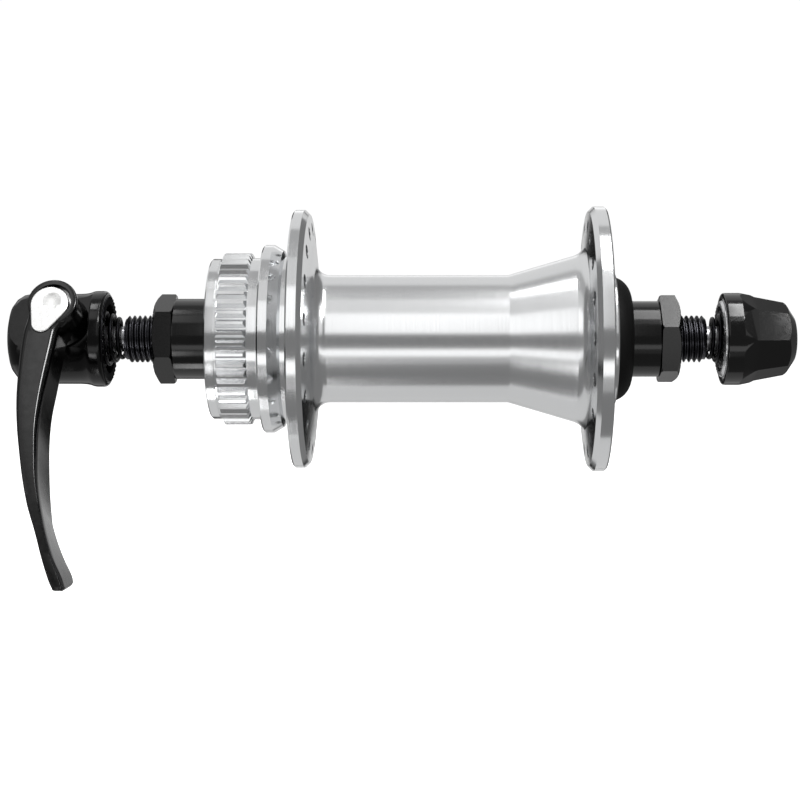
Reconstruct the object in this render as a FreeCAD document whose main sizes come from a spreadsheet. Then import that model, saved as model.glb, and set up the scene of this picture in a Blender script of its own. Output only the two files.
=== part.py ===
import FreeCAD, Part
import math
import os
from types import SimpleNamespace

import Sketcher

# Front hub with a quick-release skewer. The axle lies along X, +Z is up and the
# origin is on the axle line, midway between the outer faces of the two locknuts.
# The lever side is at -X. Each sub-part is an object of its own, and its sketches
# and features take their sizes from the sheet Sizes.

DOC = FreeCAD.newDocument("front_hub")
SHEET = DOC.addObject("Spreadsheet::Sheet", "Sizes")
V = FreeCAD.Vector


# Driving sizes, in millimetres and degrees
SIZES = {
    # Driving sizes of the axle and of what is threaded on it
    "over_locknut": 100,
    "axle_length": 111,
    "axle_shift": -0.3,
    "axle_diameter": 9,
    "axle_bore": 5.6,
    "axle_bevel": 0.6,
    "thread_play": 0.02,
    "locknut_flats": 15,
    "locknut_thickness": 3.7,
    "locknut_bevel": 0.8,
    "locknut_back_bevel": 0.3,
    "locknut_turn_left": 23.7,
    "locknut_turn_right": 45,
    "locknut_face_diameter": 14.4,
    "locknut_serration_start": 11,
    "serration_depth": 0.3,
    "serration_width": 0.7,
    "spacer_left_diameter": 15.4,
    "spacer_right_diameter": 14.6,
    "spacer_left_length": 7.3,
    "spacer_right_length": 6.1,
    # Driving sizes of the bearings
    "ball_diameter": 4.762,
    "ball_circle": 16,
    "ball_play": 0.03,
    "race_radius": 2.5,
    "contact_angle": 45,
    "cone_length": 9.5,
    "cone_nose": 1.1,
    "cone_diameter": 14.8,
    "cone_flats": 13,
    "cone_flat_length": 2.2,
    "cup_diameter": 24,
    "cup_depth": 3.1,
    "cup_back": 3.7,
    "cup_hole": 12.4,
    "dust_cap_hole": 17.2,
    "dust_cap_sheet": 0.8,
    "seal_gap": 0.15,
    "seal_width": 1.6,
    "dome_diameter": 23.8,
    "dome_top_diameter": 16.8,
    "dome_bulge": 4.2,
    "dome_sleeve": 2,
    "dome_lip": 0.7,
    "dome_wall": 1,
    "dome_skirt": 0.8,
    "dome_gap": 0.4,
    # Driving sizes of the shell, as distances from the middle plane and diameters
    "shell_bore": 15.2,
    "boss_end": 39.15,
    "boss_wall": 1.5,
    "lockring_depth": 4.75,
    "lip_drop": 0.15,
    "lip_length": 1.75,
    "lip_edge": 0.25,
    "relief_drop": 0.6,
    "relief_width": 0.45,
    "spline_diameter": 32.9,
    "spline_depth": 0.95,
    "spline_length": 5.7,
    "spline_lead": 0.3,
    "spline_runout": 0.5,
    "spline_mouth": 1.5,
    "spline_floor": 0.25,
    "stop_face": 29.2,
    "stop_diameter": 36.1,
    "stop_width": 1.9,
    "stop_edge": 0.3,
    "stop_cone_end": 25.5,
    "stop_cone_diameter": 33.9,
    "groove_diameter": 31.6,
    "groove_bevel": 0.4,
    "flange_left_face": 23.4,
    "flange_left_rim": 2,
    "flange_left_diameter": 49.5,
    "flange_left_root": 19.4,
    "flange_bevel": 0.9,
    "flange_edge": 0.3,
    "spool_diameter": 24.5,
    "root_radius": 2.6,
    "heel_radius": 3.4,
    "crease": 17.4,
    "taper_end": 29.9,
    "taper_diameter": 31.9,
    "flange_right_root": 32,
    "flange_right_face": 35.9,
    "flange_right_rim": 2.3,
    "flange_right_diameter": 50.8,
    "end_ring_diameter": 25.8,
    "end_ring_face": 37.75,
    "end_recess_depth": 1.3,
    "spoke_inset": 3.75,
    "spoke_hole": 2.6,
    "spoke_sink": 0.3,
    # Driving sizes of the skewer and its cam
    "skewer_turn": 27,
    "rod_diameter": 4.9,
    "rod_end": 68.5,
    "rod_bevel": 0.6,
    "eye_diameter": 11.4,
    "eye_hole": 7.8,
    "eye_thickness": 5,
    "eye_pull": 0.5,
    "pivot_place": 67.2,
    "cam_throw": 0.8,
    "cam_diameter": 4.8,
    "cam_shaft_diameter": 6.6,
    "cam_play": 0.05,
    "housing_face": 59.3,
    "housing_end": 78.1,
    "housing_diameter": 17.3,
    "housing_rim_diameter": 18.4,
    "housing_rim_width": 2.9,
    "housing_rim_round": 0.8,
    "housing_flare": 1.8,
    "housing_shoulder_round": 3.2,
    "housing_shoulder_length": 2.7,
    "housing_shoulder_drop": 2.9,
    "housing_crown": 0.9,
    "housing_flat": 6.9,
    "slot_side_play": 0.3,
    "slot_end_play": 0.4,
    "shaft_bore_end": 7.2,
    "clamp_ring_bore": 13.4,
    "clamp_ring_diameter": 16.6,
    "clamp_ring_depth": 1.4,
    "spring_recess_depth": 2.6,
    # Driving sizes of the lever, along its own length from the pivot
    "lever_front": 15.4,
    "lever_gap": 0.2,
    "head_diameter": 9.1,
    "head_base_diameter": 10.6,
    "head_flare": 14,
    "blade_set_back": 0.15,
    "plate_diameter": 7,
    "plate_side": 0.42,
    "plate_drop": 0.53,
    "plate_toe_diameter": 3.8,
    "plate_toe_reach": 4.5,
    "plate_toe_lead": 1.5,
    "plate_thickness": 2.4,
    "plate_proud": 0.15,
    "plate_fit": 0.03,
    "plate_margin": 0.12,
    "plate_margin_depth": 0.7,
    "shaft_hole_mouth": 7.1,
    "dimple_diameter": 3.6,
    "dimple_floor_diameter": 2,
    "dimple_depth": 0.25,
    # Driving sizes of the springs
    "spring_wire": 0.8,
    "spring_small_diameter": 7.6,
    "spring_step": 0.62,
    "spring_pitch": 1.3,
    "spring_seat_play": 0.1,
    "spring_turn_left": 34,
    "spring_turn_right": 120,
    # Driving sizes of the adjusting nut
    "nut_face": 57.95,
    "nut_ring_diameter": 14.7,
    "nut_ring_width": 1.2,
    "nut_ring_bevel": 0.4,
    "nut_ring_bore": 12.6,
    "nut_recess_depth": 3.05,
    "nut_barrel_diameter": 11,
    "nut_length": 8.15,
    "nut_thread_play": 0.03,
    "insert_length": 3,
    "insert_diameter": 9,
    "cover_turn": 24.5,
    "cover_diameter": 17.7,
    "cover_rim": 0.4,
    "cover_set_back": 0.55,
    "cover_land": 3.3,
    "cover_end": 72.4,
    "cover_shoulder": 70.3,
    "cover_shoulder_diameter": 14.3,
    "cover_top_diameter": 8,
    "cover_wall": 1.5,
    "cover_fit": 0.03,
    "flute_lead": 0.3,
    "flute_kink": 64.7,
    "flute_kink_depth": 1.4,
    "flute_end_depth": 2.75,
    "blade_round": 1,
}

# Lever stations: distance from the pivot, then the hub-side and outer offsets of
# the blade from the pivot and its width, named lever_reach_1, lever_inner_1 and so on
LEVER_STATIONS = [
    (3.2, 3.3, -4.5, 7.9),
    (8, 1.75, -5.0, 7.9),
    (14, 1.3, -5.0, 8.0),
    (20, 0.65, -4.7, 8.7),
    (27, 0.65, -3.7, 9.9),
    (34, 1.3, -2.25, 10.9),
    (41, 2.55, -0.3, 11.1),
    (48, 4.7, 2.3, 9.7),
    (53, 6.8, 4.1, 8.5),
    (56.9, 8.3, 5.8, 7.2),
]
STATION_WORDS = ("lever_reach", "lever_inner", "lever_outer", "lever_width")
for number, station in enumerate(LEVER_STATIONS, 1):
    for word, value in zip(STATION_WORDS, station):
        SIZES[f"{word}_{number}"] = value

# Counts
SPLINE_COUNT = 52
SPOKE_COUNT = 18
BALL_COUNT = 10
LOCKNUT_SERRATION_COUNT = 30
CLAMP_SERRATION_COUNT = 40
FLUTE_COUNT = 8

# How far a cut starts or ends clear of the piece, and the slope of the spoke holes' rims
CUT_OVER = 1
SINK_TAPER = -44

for row, (alias, number) in enumerate(SIZES.items(), 1):
    SHEET.set(f"A{row}", alias)
    SHEET.set(f"B{row}", str(number))
    SHEET.setAlias(f"B{row}", alias)
DOC.recompute()


# Sizes and formulas
class Size:
    """A length, angle or count with the sheet formula that it comes from."""

    def __init__(self, value, text):
        self.value = float(value)
        self.text = text

    def __float__(self):
        return self.value

    def __neg__(self):
        return Size(-self.value, f"(0 - {self.text})")

    def __add__(self, other):
        other = size_of(other)
        return Size(self.value + other.value, f"({self.text} + {other.text})")

    def __sub__(self, other):
        other = size_of(other)
        return Size(self.value - other.value, f"({self.text} - {other.text})")

    def __mul__(self, other):
        other = size_of(other)
        return Size(self.value * other.value, f"({self.text} * {other.text})")

    def __truediv__(self, other):
        other = size_of(other)
        return Size(self.value / other.value, f"({self.text} / {other.text})")

    __radd__ = __add__
    __rmul__ = __mul__

    def __rsub__(self, other):
        return size_of(other) - self

    def __rtruediv__(self, other):
        return size_of(other) / self


def size_of(number):
    if isinstance(number, Size):
        return number
    return Size(number, f"{float(number):.6f}" if number >= 0 else f"(0 - {-float(number):.6f})")


def sine(angle):
    return Size(math.sin(math.radians(float(angle))), f"sin({size_of(angle).text} * 1deg)")


def cosine(angle):
    return Size(math.cos(math.radians(float(angle))), f"cos({size_of(angle).text} * 1deg)")


def root(number):
    return Size(math.sqrt(float(number)), f"sqrt({number.text})")


s = SimpleNamespace(**{
    alias: Size(SHEET.get(alias), f"Sizes.{alias}") for alias in SIZES
})


# Helpers for sketches and features
def bind(thing, path, formula):
    thing.setExpression(path, size_of(formula).text)


def new_body(name, turn=None, along=None):
    """A body on the axle line, turned about X and moved along it where asked."""
    body = DOC.addObject("PartDesign::Body", name)
    body.Label = name
    body.Placement = FreeCAD.Placement(
        V(0, 0, 0), FreeCAD.Rotation(V(1, 0, 0), float(turn) if turn else 0)
    )
    if turn:
        bind(body, "Placement.Rotation.Angle", turn)
    if along:
        bind(body, "Placement.Base.x", along)
    return body


def origin_part(body, role):
    return next(part for part in body.Origin.OriginFeatures if part.Role == role)


def new_sketch(body, name, plane, offset=None):
    """A sketch on one of the body's planes, moved along the plane's normal."""
    sketch = body.newObject("Sketcher::SketchObject", name)
    sketch.AttachmentSupport = [(origin_part(body, plane), "")]
    sketch.MapMode = "FlatFace"
    if offset is not None:
        bind(sketch, "AttachmentOffset.Base.z", offset)
    return sketch


def pin(sketch, geometry, end, x, y):
    """Hold one end or centre of a sketch piece at x, y."""
    for kind, axis, formula in (("DistanceX", -2, x), ("DistanceY", -1, y)):
        formula = size_of(formula)
        if abs(formula.value) < 1e-9:
            sketch.addConstraint(
                Sketcher.Constraint("PointOnObject", geometry, end, axis)
            )
            continue
        index = sketch.addConstraint(
            Sketcher.Constraint(kind, -1, 1, geometry, end, formula.value)
        )
        bind(sketch, f"Constraints[{index}]", formula)


def outline(sketch, points):
    """Close an outline through points (x, y) or (x, y, radius).

    A radius makes the stretch that ends at the point an arc: it bends to the left
    of the way the outline runs where the radius is positive, and else to the right.
    """
    count = len(points)
    ends = []
    for index, point in enumerate(points):
        start = points[index - 1]
        a = V(float(start[0]), float(start[1]), 0)
        b = V(float(point[0]), float(point[1]), 0)
        if len(point) == 2:
            piece = sketch.addGeometry(Part.LineSegment(a, b), False)
            ends.append((piece, 1, 2))
            continue
        radius = abs(float(point[2]))
        way = 1 if float(point[2]) > 0 else -1
        chord = b - a
        side = V(-chord.y, chord.x, 0).normalize()
        rise = math.sqrt(max(radius ** 2 - (chord.Length / 2) ** 2, 0))
        centre = (a + b) * 0.5 + side * rise * way
        low, high = (a, b) if way > 0 else (b, a)
        angles = [math.atan2(p.y - centre.y, p.x - centre.x) for p in (low, high)]
        if angles[1] < angles[0]:
            angles[1] += 2 * math.pi
        circle = Part.Circle(centre, V(0, 0, 1), radius)
        piece = sketch.addGeometry(Part.ArcOfCircle(circle, *angles), False)
        ends.append((piece, 1, 2) if way > 0 else (piece, 2, 1))
    for index in range(count):
        piece, _, last = ends[index]
        following, first, _ = ends[(index + 1) % count]
        sketch.addConstraint(
            Sketcher.Constraint("Coincident", piece, last, following, first)
        )
        pin(sketch, piece, last, *points[index][:2])
    for index, point in enumerate(points):
        if len(point) == 3:
            radius = size_of(point[2])
            radius = radius if radius.value > 0 else -radius
            number = sketch.addConstraint(
                Sketcher.Constraint("Radius", ends[index][0], radius.value)
            )
            bind(sketch, f"Constraints[{number}]", radius)


def ring(sketch, x, y, diameter):
    """Draw a circle."""
    diameter = size_of(diameter)
    circle = Part.Circle(V(float(x), float(y), 0), V(0, 0, 1), diameter.value / 2)
    piece = sketch.addGeometry(circle, False)
    pin(sketch, piece, 3, x, y)
    number = sketch.addConstraint(Sketcher.Constraint("Diameter", piece, diameter.value))
    bind(sketch, f"Constraints[{number}]", diameter)


def feature(body, kind, name, sketch, **settings):
    """Add a feature made from one sketch."""
    made = body.newObject(f"PartDesign::{kind}", name)
    made.Profile = sketch
    for key, value in settings.items():
        if isinstance(value, Size):
            setattr(made, key, abs(value.value))
            bind(made, key, value)
        else:
            setattr(made, key, value)
    body.Tip = made
    return made


def turned(body, name, points, cut=False, plane="XZ_Plane", axis="H_Axis"):
    """Turn an outline about the axle line, or about the sketch's other axis."""
    sketch = new_sketch(body, f"{name}_outline", plane)
    outline(sketch, points)
    kind = "Groove" if cut else "Revolution"
    return feature(body, kind, name, sketch, ReferenceAxis=(sketch, [axis]), Angle=360.0)


def pad(body, name, sketch, length, reverse=False):
    return feature(body, "Pad", name, sketch, Length=length, Reversed=reverse)


def pocket(body, name, sketch, length, reverse=False):
    return feature(body, "Pocket", name, sketch, Length=length, Reversed=reverse)


def around(body, name, originals, count, role="X_Axis"):
    """Repeat features evenly round one of the body's axes."""
    pattern = body.newObject("PartDesign::PolarPattern", name)
    pattern.Originals = originals
    pattern.Axis = (origin_part(body, role), [""])
    pattern.Angle = 360
    pattern.Occurrences = count
    body.Tip = pattern
    return pattern


def serrate(body, name, face, inner, outer, count, way):
    """Cut radial V grooves into a face square to X; way is +1 where it looks to +X."""
    sketch = new_sketch(body, f"{name}_outline", "XY_Plane", inner / 2)
    half = s.serration_width / 2
    lift = s.serration_depth / 3
    outline(sketch, [
        (face + way * lift, -half),
        (face + way * lift, half),
        (face - way * s.serration_depth, 0),
    ])
    first = pocket(body, name, sketch, (outer - inner) / 2 + s.serration_depth, True)
    around(body, f"{name}_all", [first], count)


def hexagon(flats, turn):
    """Corner points of a hexagon round the axis, turned by an angle."""
    radius = flats / (2 * cosine(30))
    return [
        (radius * cosine(turn + 60 * step), radius * sine(turn + 60 * step))
        for step in range(6)
    ]


# Places worked out from the driving sizes; "left" is the lever side
half_over = s.over_locknut / 2
axle_radius = s.axle_diameter / 2
axle_left = s.axle_shift - s.axle_length / 2
axle_right = s.axle_shift + s.axle_length / 2
locknut_inner = half_over - s.locknut_thickness
cone_outer_left = locknut_inner - s.spacer_left_length
cone_outer_right = locknut_inner - s.spacer_right_length
balls_left_x = cone_outer_left - s.cone_length + s.cone_nose
balls_right_x = cone_outer_right - s.cone_length + s.cone_nose
ball_radius = s.ball_diameter / 2
ball_circle_radius = s.ball_circle / 2
race_shift = s.race_radius - ball_radius - s.ball_play
threaded_radius = axle_radius + s.thread_play
cone_radius = s.cone_diameter / 2
cup_radius = s.cup_diameter / 2


# Axle
axle = new_body("axle")
turned(axle, "axle_bar", [
    (axle_left, s.axle_bore / 2),
    (axle_left, axle_radius - s.axle_bevel),
    (axle_left + s.axle_bevel, axle_radius),
    (axle_right - s.axle_bevel, axle_radius),
    (axle_right, axle_radius - s.axle_bevel),
    (axle_right, s.axle_bore / 2),
])


# Cones: the raceway is an arc round the ball, whose centre lies a little inside
# the ball so that only the contact line comes near the ball
def make_cone(name, outer, way):
    """way is +1 on the right, where the cone's outer end looks to +X."""
    body = new_body(name)
    ball_x = outer - s.cone_length + s.cone_nose
    centre_x = ball_x - race_shift * sine(s.contact_angle)
    centre_r = ball_circle_radius + race_shift * cosine(s.contact_angle)
    nose_r = centre_r - s.race_radius
    shoulder_x = centre_x + root(
        s.race_radius * s.race_radius - (centre_r - cone_radius) * (centre_r - cone_radius)
    )
    turned(body, f"{name}_turning", [
        (way * (outer - s.cone_length), threaded_radius),
        (way * (outer - s.cone_length), nose_r),
        (way * centre_x, nose_r),
        (way * shoulder_x, cone_radius, way * s.race_radius),
        (way * outer, cone_radius),
        (way * outer, threaded_radius),
    ])
    flats = new_sketch(body, f"{name}_flats_outline", "YZ_Plane", way * outer)
    for side in (1, -1):
        outline(flats, [
            (-s.cone_diameter, side * s.cone_flats / 2),
            (s.cone_diameter, side * s.cone_flats / 2),
            (s.cone_diameter, side * s.cone_diameter),
            (-s.cone_diameter, side * s.cone_diameter),
        ])
    pocket(body, f"{name}_flats", flats, s.cone_flat_length, way < 0)
    return body


make_cone("cone_left", cone_outer_left, -1)
make_cone("cone_right", cone_outer_right, 1)


# Bearing cups, pressed into the shell
def make_cup(name, ball_x, way):
    body = new_body(name)
    centre_x = ball_x + race_shift * sine(s.contact_angle)
    centre_r = ball_circle_radius - race_shift * cosine(s.contact_angle)
    mouth_r = centre_r + s.race_radius
    hole_r = s.cup_hole / 2
    inner_x = centre_x - root(
        s.race_radius * s.race_radius - (centre_r - hole_r) * (centre_r - hole_r)
    )
    turned(body, f"{name}_turning", [
        (way * (ball_x + s.cup_depth), mouth_r),
        (way * (ball_x + s.cup_depth), cup_radius),
        (way * (ball_x - s.cup_back), cup_radius),
        (way * (ball_x - s.cup_back), hole_r),
        (way * inner_x, hole_r),
        (way * centre_x, mouth_r, -way * s.race_radius),
    ])
    return body


make_cup("bearing_cup_left", balls_left_x, -1)
make_cup("bearing_cup_right", balls_right_x, 1)


# Balls, one group for each bearing
def make_balls(name, ball_x):
    balls = []
    for number in range(BALL_COUNT):
        turn = 360 / BALL_COUNT * (number + 0.5)
        ball = DOC.addObject("Part::Sphere", f"{name}_{number + 1}")
        bind(ball, "Radius", ball_radius)
        bind(ball, "Placement.Base.x", ball_x)
        bind(ball, "Placement.Base.y", ball_circle_radius * math.cos(math.radians(turn)))
        bind(ball, "Placement.Base.z", ball_circle_radius * math.sin(math.radians(turn)))
        balls.append(ball)
    group = DOC.addObject("Part::Compound", name)
    group.Links = balls
    group.Label = name
    return group


make_balls("balls_left", -balls_left_x)
make_balls("balls_right", balls_right_x)


# Dust caps, pressed into the shell beside the cups
def make_dust_cap(name, ball_x, way):
    body = new_body(name)
    start = ball_x + s.cup_depth
    turned(body, f"{name}_sheet", [
        (way * start, s.dust_cap_hole / 2),
        (way * start, cup_radius),
        (way * (start + s.dust_cap_sheet), cup_radius),
        (way * (start + s.dust_cap_sheet), s.dust_cap_hole / 2),
    ])
    return body


make_dust_cap("dust_cap_left", balls_left_x, -1)
make_dust_cap("dust_cap_right", balls_right_x, 1)

# Rubber seal ring on the left cone, inside the hole of the dust cap
seal_left = new_body("seal_left")
seal_start = balls_left_x + s.cup_depth - (s.seal_width - s.dust_cap_sheet) / 2
turned(seal_left, "seal_left_ring", [
    (-seal_start, cone_radius),
    (-seal_start, s.dust_cap_hole / 2 - s.seal_gap),
    (-(seal_start + s.seal_width), s.dust_cap_hole / 2 - s.seal_gap),
    (-(seal_start + s.seal_width), cone_radius),
])

# Rubber dome on the right cone, which covers the open end of the shell
seal_right = new_body("seal_right")
dome_radius = s.dome_diameter / 2
dome_top = s.dome_top_diameter / 2
dome_start = s.end_ring_face - s.dome_skirt
dome_end = cone_outer_right + s.dome_lip
turned(seal_right, "seal_right_dome", [
    (dome_start, dome_radius - s.dome_wall),
    (dome_start, dome_radius),
    (s.end_ring_face, dome_radius),
    (dome_end, dome_top, -s.dome_bulge),
    (dome_end, cone_radius),
    (dome_end - s.dome_sleeve, cone_radius),
    (dome_end - s.dome_sleeve, cone_radius + s.dome_wall / 2),
    (dome_end - s.dome_wall, cone_radius + s.dome_wall / 2),
    (s.end_ring_face, dome_radius - s.dome_wall, s.dome_bulge),
])


# Spacers and locknuts
def make_spacer(name, diameter, outer, length, way):
    body = new_body(name)
    turned(body, f"{name}_tube", [
        (way * (outer - length), threaded_radius),
        (way * (outer - length), diameter / 2),
        (way * outer, diameter / 2),
        (way * outer, threaded_radius),
    ])
    return body


def make_locknut(name, turn, way):
    """A hexagon nut, beveled and serrated on its outer face."""
    body = new_body(name)
    blank = new_sketch(body, f"{name}_hexagon", "YZ_Plane", way * locknut_inner)
    outline(blank, hexagon(s.locknut_flats, turn))
    ring(blank, 0, 0, 2 * threaded_radius)
    pad(body, f"{name}_blank", blank, s.locknut_thickness, way < 0)
    corner = s.locknut_flats / (2 * cosine(30))
    face_r = s.locknut_face_diameter / 2
    turned(body, f"{name}_bevel", [
        (way * half_over, face_r),
        (way * (half_over + CUT_OVER), face_r),
        (way * (half_over + CUT_OVER), corner + CUT_OVER),
        (way * (half_over - s.locknut_bevel), corner + CUT_OVER),
        (way * (half_over - s.locknut_bevel), corner),
    ], cut=True)
    back = s.locknut_back_bevel
    turned(body, f"{name}_back_bevel", [
        (way * (locknut_inner + back), corner),
        (way * (locknut_inner + back), corner + back),
        (way * (locknut_inner - back), corner + back),
        (way * (locknut_inner - back), corner - back * 2),
    ], cut=True)
    serrate(body, f"{name}_serration", way * half_over, s.locknut_serration_start,
            s.locknut_flats, LOCKNUT_SERRATION_COUNT, way)
    return body


make_spacer("spacer_left", s.spacer_left_diameter, locknut_inner, s.spacer_left_length, -1)
make_spacer("spacer_right", s.spacer_right_diameter, locknut_inner, s.spacer_right_length, 1)
make_locknut("locknut_left", s.locknut_turn_left, -1)
make_locknut("locknut_right", s.locknut_turn_right, 1)


# Hub shell: lockring boss with rotor splines, stop ring, two flanges and the spool
def make_shell():
    body = new_body("hub_shell")
    cup_left_out = -(balls_left_x + s.cup_depth)
    cup_left_in = -(balls_left_x - s.cup_back)
    cup_right_in = balls_right_x - s.cup_back
    lip_end = s.lip_length - s.boss_end
    spline_start = lip_end + s.relief_width
    spline_end = spline_start + s.spline_length
    crest_r = s.spline_diameter / 2
    root_r = crest_r - s.spline_depth
    lip_r = root_r - s.lip_drop
    relief_r = root_r - s.relief_drop
    lockring_r = root_r - s.boss_wall
    stop_r = s.stop_diameter / 2
    spool_r = s.spool_diameter / 2
    taper_r = s.taper_diameter / 2
    left_r = s.flange_left_diameter / 2
    right_r = s.flange_right_diameter / 2
    left_rim = s.flange_left_rim - s.flange_left_face
    right_rim = s.flange_right_face - s.flange_right_rim
    stop_back = s.stop_width - s.stop_face
    recess_r = dome_radius + s.dome_gap
    body_outline = [
        (-s.boss_end, lockring_r),
        (-s.boss_end, lip_r - s.lip_edge),
        (s.lip_edge - s.boss_end, lip_r),
        (lip_end, lip_r),
        (lip_end, relief_r),
        (spline_start, relief_r),
        (spline_start, root_r),
        (spline_start + s.spline_lead, crest_r),
        (spline_end - s.spline_runout, crest_r),
        (spline_end, root_r),
        (-s.stop_face, root_r),
        (-s.stop_face, stop_r - s.stop_edge),
        (s.stop_edge - s.stop_face, stop_r),
        (stop_back, stop_r),
        (-s.stop_cone_end, s.stop_cone_diameter / 2),
        (s.groove_bevel - s.stop_cone_end, s.groove_diameter / 2),
        (-s.flange_left_face, s.groove_diameter / 2),
        (-s.flange_left_face, left_r - s.flange_edge),
        (s.flange_edge - s.flange_left_face, left_r),
        (left_rim, left_r),
        (left_rim + s.flange_bevel, left_r - s.flange_bevel),
        (-s.flange_left_root, spool_r + s.root_radius),
        (s.root_radius - s.flange_left_root, spool_r, s.root_radius),
        (s.crease, spool_r),
        (s.taper_end, taper_r),
        (s.flange_right_root, taper_r + s.heel_radius / 2, s.heel_radius),
        (right_rim - s.flange_bevel, right_r - s.flange_bevel),
        (right_rim, right_r),
        (s.flange_right_face - s.flange_edge, right_r),
        (s.flange_right_face, right_r - s.flange_edge),
        (s.flange_right_face, s.end_ring_diameter / 2),
        (s.end_ring_face - s.lip_edge, s.end_ring_diameter / 2),
        (s.end_ring_face, s.end_ring_diameter / 2 - s.lip_edge),
        (s.end_ring_face, recess_r),
        (s.end_ring_face - s.end_recess_depth, recess_r),
        (s.end_ring_face - s.end_recess_depth, cup_radius),
        (cup_right_in, cup_radius),
        (cup_right_in, s.shell_bore / 2),
        (cup_left_in, s.shell_bore / 2),
        (cup_left_in, cup_radius),
        (s.lockring_depth - s.boss_end, cup_radius),
        (s.lockring_depth - s.boss_end, lockring_r),
    ]
    turned(body, "shell_turning", body_outline)

    tooth_gap = new_sketch(body, "spline_outline", "YZ_Plane", spline_start - s.spline_lead)
    slope = (s.spline_mouth - s.spline_floor) / (2 * (crest_r - root_r))
    over = s.spline_mouth / 2 + slope * s.spline_lead
    outline(tooth_gap, [
        (-s.spline_floor / 2, root_r),
        (s.spline_floor / 2, root_r),
        (over, crest_r + s.spline_lead),
        (-over, crest_r + s.spline_lead),
    ])
    gap = pocket(body, "spline_gap", tooth_gap, s.spline_length + s.spline_lead * 2, True)
    around(body, "splines", [gap], SPLINE_COUNT)

    depth_left = s.flange_left_face - s.flange_left_root
    depth_right = s.flange_right_face - s.flange_right_root
    for name, face, depth, rim, turn, way in (
        ("left", -s.flange_left_face, depth_left, left_r, 90, -1),
        ("right", s.flange_right_face, depth_right, right_r, 100, 1),
    ):
        y = (rim - s.spoke_inset) * math.cos(math.radians(turn))
        z = (rim - s.spoke_inset) * math.sin(math.radians(turn))
        round_hole = new_sketch(body, f"spoke_{name}_outline", "YZ_Plane", face)
        ring(round_hole, y, z, s.spoke_hole)
        hole = pocket(body, f"spoke_{name}_hole", round_hole, depth, way < 0)
        rim_round = new_sketch(body, f"spoke_{name}_sink_outline", "YZ_Plane", face)
        ring(rim_round, y, z, s.spoke_hole + 2 * s.spoke_sink)
        sink = pocket(body, f"spoke_{name}_sink", rim_round, s.spoke_sink, way < 0)
        sink.TaperAngle = SINK_TAPER
        around(body, f"spoke_{name}_holes", [hole, sink], SPOKE_COUNT)
    return body


make_shell()

# Skewer rod with the eye that the cam pulls
pivot_x = -s.pivot_place
cam_x = pivot_x - s.cam_throw
eye_x = cam_x + s.eye_hole / 2 - s.cam_diameter / 2 - s.eye_pull
eye_r = s.eye_diameter / 2
rod_r = s.rod_diameter / 2
rod = new_body("skewer_rod", -s.skewer_turn)
turned(rod, "rod_bar", [
    (eye_x + (eye_r + s.eye_hole / 2) / 2, 0),
    (eye_x + (eye_r + s.eye_hole / 2) / 2, rod_r),
    (s.rod_end - s.rod_bevel, rod_r),
    (s.rod_end, rod_r - s.rod_bevel),
    (s.rod_end, 0),
])
eye_disc = new_sketch(rod, "eye_outline", "XZ_Plane", -s.eye_thickness / 2)
ring(eye_disc, eye_x, 0, s.eye_diameter)
pad(rod, "eye", eye_disc, s.eye_thickness)
eye_bore = new_sketch(rod, "eye_hole_outline", "XZ_Plane", s.eye_thickness)
ring(eye_bore, eye_x, 0, s.eye_hole)
pocket(rod, "eye_hole", eye_bore, s.eye_thickness * 2)


# Cam housing
def make_housing():
    body = new_body("cam_housing", -s.skewer_turn)
    r = s.housing_diameter / 2
    rim_r = s.housing_rim_diameter / 2
    rim_x = -(s.housing_face + s.housing_rim_width)
    crown_r = r - s.housing_shoulder_drop
    crown_x = s.housing_crown - s.housing_end
    crown_ball = (crown_r * crown_r + s.housing_crown * s.housing_crown) / (2 * s.housing_crown)
    recess_r = s.clamp_ring_bore / 2
    recess_x = -(s.housing_face + s.spring_recess_depth)
    turned(body, "housing_turning", [
        (recess_x, 0),
        (recess_x, recess_r),
        (-(s.housing_face + s.clamp_ring_depth), recess_r),
        (-(s.housing_face + s.clamp_ring_depth), s.clamp_ring_diameter / 2),
        (-s.housing_face, s.clamp_ring_diameter / 2),
        (-s.housing_face, rim_r - s.housing_rim_round),
        (-(s.housing_face + s.housing_rim_round), rim_r, s.housing_rim_round),
        (rim_x, rim_r),
        (rim_x - s.housing_flare, r),
        (crown_x + s.housing_shoulder_length, r),
        (crown_x, crown_r, s.housing_shoulder_round),
        (-s.housing_end, 0, crown_ball),
    ])
    flat = new_sketch(body, "housing_flat_outline", "XY_Plane", -s.housing_diameter)
    outline(flat, [
        (-(s.housing_end + CUT_OVER), -s.housing_flat),
        (-(s.housing_end + CUT_OVER), -s.housing_diameter),
        (pivot_x + s.head_base_diameter / 2 + s.lever_gap, -s.housing_diameter),
        (pivot_x + s.head_base_diameter / 2 + s.lever_gap, -s.housing_flat),
    ])
    pocket(body, "housing_flat_cut", flat, s.housing_diameter * 2, True)
    slot_y = s.eye_thickness / 2 + s.slot_side_play
    slot_z = eye_r + s.slot_end_play
    slot = new_sketch(body, "eye_slot_outline", "YZ_Plane", recess_x)
    outline(slot, [
        (-slot_y, -slot_z), (slot_y, -slot_z), (slot_y, slot_z), (-slot_y, slot_z),
    ])
    slot_depth = recess_x - (eye_x - eye_r - s.slot_end_play)
    pocket(body, "eye_slot", slot, slot_depth)
    bore = new_sketch(body, "shaft_bore_outline", "XZ_Plane", -s.shaft_bore_end)
    ring(bore, pivot_x, 0, s.cam_shaft_diameter + 2 * s.cam_play)
    pocket(body, "shaft_bore", bore, s.shaft_bore_end + s.housing_diameter, True)
    return body


make_housing()

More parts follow.
